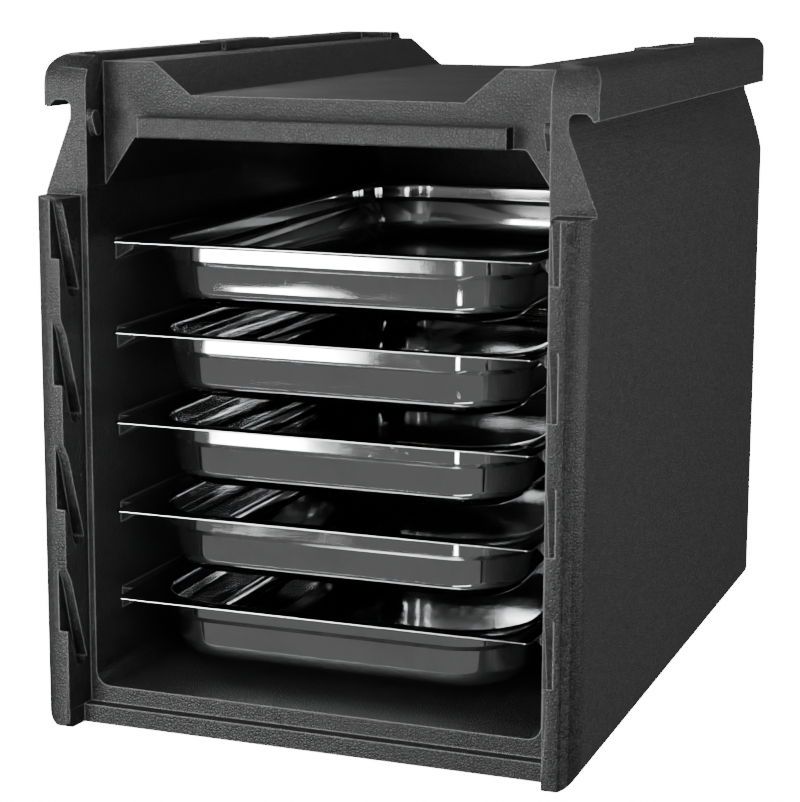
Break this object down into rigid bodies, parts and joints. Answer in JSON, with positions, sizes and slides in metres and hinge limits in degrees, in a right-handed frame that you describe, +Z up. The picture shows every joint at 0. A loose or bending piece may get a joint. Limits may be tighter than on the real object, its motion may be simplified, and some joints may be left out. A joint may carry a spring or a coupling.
{
  "type": "insulated food carrier",
  "caption": "Front-loading insulated food carrier in foamed plastic, with moulded pan runners, finger-grip rails and sliding stainless steel pans.",
  "frame": {"origin": "centre of the base, on the surface it stands on", "axes": "+Z up, -Y out of the open front, +X to the right as seen from the front"},
  "size_m": [0.415, 0.604, 0.5008],
  "materials": {
    "foam_shell": "moulded bead foam, charcoal black, satin",
    "pan_steel": "polished stainless sheet"
  },
  "bodies": {
    "carrier": {"carrier_body": "foam_shell"},
    "pan_1": {"pan_1": "pan_steel"},
    "pan_2": {"pan_2": "pan_steel"},
    "pan_3": {"pan_3": "pan_steel"},
    "pan_4": {"pan_4": "pan_steel"},
    "pan_5": {"pan_5": "pan_steel"}
  },
  "joints": [
    {"name": "pan_1_slide", "type": "slide", "parent": "carrier", "child": "pan_1", "axis": [0, -1, 0], "range_m": [0, 0.45]},
    {"name": "pan_2_slide", "type": "slide", "parent": "carrier", "child": "pan_2", "axis": [0, -1, 0], "range_m": [0, 0.45]},
    {"name": "pan_3_slide", "type": "slide", "parent": "carrier", "child": "pan_3", "axis": [0, -1, 0], "range_m": [0, 0.45]},
    {"name": "pan_4_slide", "type": "slide", "parent": "carrier", "child": "pan_4", "axis": [0, -1, 0], "range_m": [0, 0.45]},
    {"name": "pan_5_slide", "type": "slide", "parent": "carrier", "child": "pan_5", "axis": [0, -1, 0], "range_m": [0, 0.45]}
  ]
}
